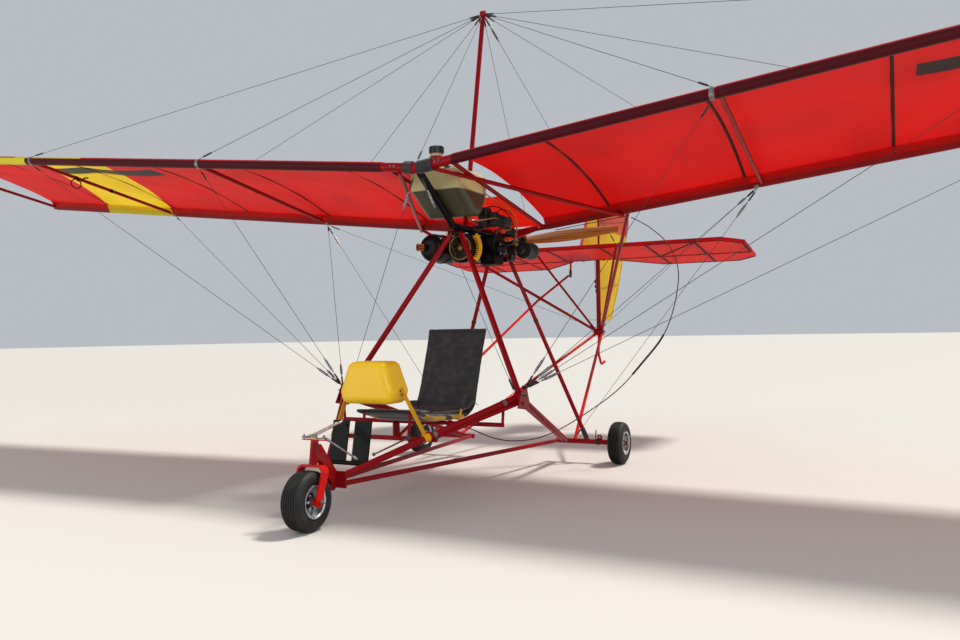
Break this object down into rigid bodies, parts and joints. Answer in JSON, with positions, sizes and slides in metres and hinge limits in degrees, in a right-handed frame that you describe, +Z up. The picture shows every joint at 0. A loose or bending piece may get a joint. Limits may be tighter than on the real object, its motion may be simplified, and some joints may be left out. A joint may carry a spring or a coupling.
{
  "type": "microlight aircraft",
  "caption": "Open-frame single-seat microlight with a cable-braced fabric wing, pusher propeller, boom-mounted tail and steerable nosewheel.",
  "frame": {"origin": "on the ground, midway between the two main wheels' sides and midway between the front of the nose tyre and the back of the rudder", "axes": "+Z up, +Y towards the tail, +X towards the port wing tip"},
  "size_m": [9.9662, 5.41, 3.052],
  "materials": {
    "red_tube": "gloss",
    "bright_red": "gloss",
    "black_metal": "satin",
    "engine_metal": "matte",
    "red_cloth": "satin",
    "yellow_cloth": "satin",
    "tank_plastic": "satin",
    "yellow_plastic": "gloss",
    "yellow_metal": "gloss",
    "tyre_rubber": "matte",
    "rim_alloy": "satin",
    "steel": "satin",
    "blade_wood": "gloss",
    "black_plastic": "satin",
    "black_webbing": "matte",
    "cable_rubber": "matte"
  },
  "bodies": {
    "airframe": {"nose_bracket": "red_tube", "seat_rails": "red_tube", "lower_seat_rails": "red_tube", "lower_longerons": "red_tube", "corner_fittings": "red_tube", "front_downtubes": "red_tube", "rear_downtubes": "red_tube", "gear_struts": "red_tube", "axles": "red_tube", "keel": "black_metal", "front_post": "black_metal", "rear_posts": "red_tube", "leading_edge_spars": "red_tube", "trailing_edge_spars": "red_tube", "spar_joints": "red_tube", "wing_struts": "red_tube", "stay_clamps": "steel", "port_sail": "red_cloth", "starboard_sail": "red_cloth", "centre_sail": "red_cloth", "spoilers": "black_metal", "kingpost": "red_tube", "upper_booms": "red_tube", "lower_booms": "bright_red", "tail_post": "red_tube", "tail_struts": "red_tube", "tail_skid": "bright_red", "tail_bracket": "black_metal", "stabiliser": "red_cloth", "fin": "yellow_cloth", "rudder_hinges": "steel", "engine_block": "engine_metal", "engine_cylinder": "black_metal", "recoil_starter": "black_metal", "muffler": "black_metal", "air_filter": "black_plastic", "belt_drive": "black_metal", "fuel_tank": "tank_plastic", "tank_cap": "black_plastic", "tank_straps": "black_webbing", "seat": "black_webbing", "seat_bars": "red_tube", "front_pod": "yellow_plastic", "pod_brackets": "yellow_metal", "pedals": "black_metal", "hand_lever": "yellow_metal", "push_rod": "bright_red", "flying_wires": "steel", "landing_wires": "steel", "control_cable": "cable_rubber"},
    "nose_leg": {"nose_fork": "bright_red"},
    "nose_wheel": {"nose_tyre": "tyre_rubber", "nose_rim": "rim_alloy"},
    "port_wheel": {"port_tyre": "tyre_rubber", "port_rim": "rim_alloy"},
    "starboard_wheel": {"starboard_tyre": "tyre_rubber", "starboard_rim": "rim_alloy"},
    "propeller": {"propeller": "blade_wood"},
    "rudder": {"rudder": "yellow_cloth"},
    "elevator": {"elevator": "red_cloth"}
  },
  "joints": [
    {"name": "steering", "type": "hinge", "parent": "airframe", "child": "nose_leg", "pos_m": [0, -2.513, 0.3], "axis": [0, 0.1392, 0.9903], "range_deg": [-30, 30]},
    {"name": "nose_wheel_spin", "type": "hinge", "parent": "nose_leg", "child": "nose_wheel", "pos_m": [0, -2.565, 0.14], "axis": [1, 0, 0], "continuous": true},
    {"name": "port_wheel_spin", "type": "hinge", "parent": "airframe", "child": "port_wheel", "pos_m": [0.768, -0.22, 0.14], "axis": [1, 0, 0], "continuous": true},
    {"name": "starboard_wheel_spin", "type": "hinge", "parent": "airframe", "child": "starboard_wheel", "pos_m": [-0.768, -0.22, 0.14], "axis": [1, 0, 0], "continuous": true},
    {"name": "propeller_spin", "type": "hinge", "parent": "airframe", "child": "propeller", "pos_m": [0, -0.035, 1.556], "axis": [0, 1, 0], "continuous": true},
    {"name": "rudder_hinge", "type": "hinge", "parent": "airframe", "child": "rudder", "pos_m": [0, 1.753, 1.5], "axis": [0, 0, 1], "range_deg": [-30, 30]},
    {"name": "elevator_hinge", "type": "hinge", "parent": "airframe", "child": "elevator", "pos_m": [0, 1.595, 1.528], "axis": [1, 0, 0], "range_deg": [-25, 25]}
  ]
}
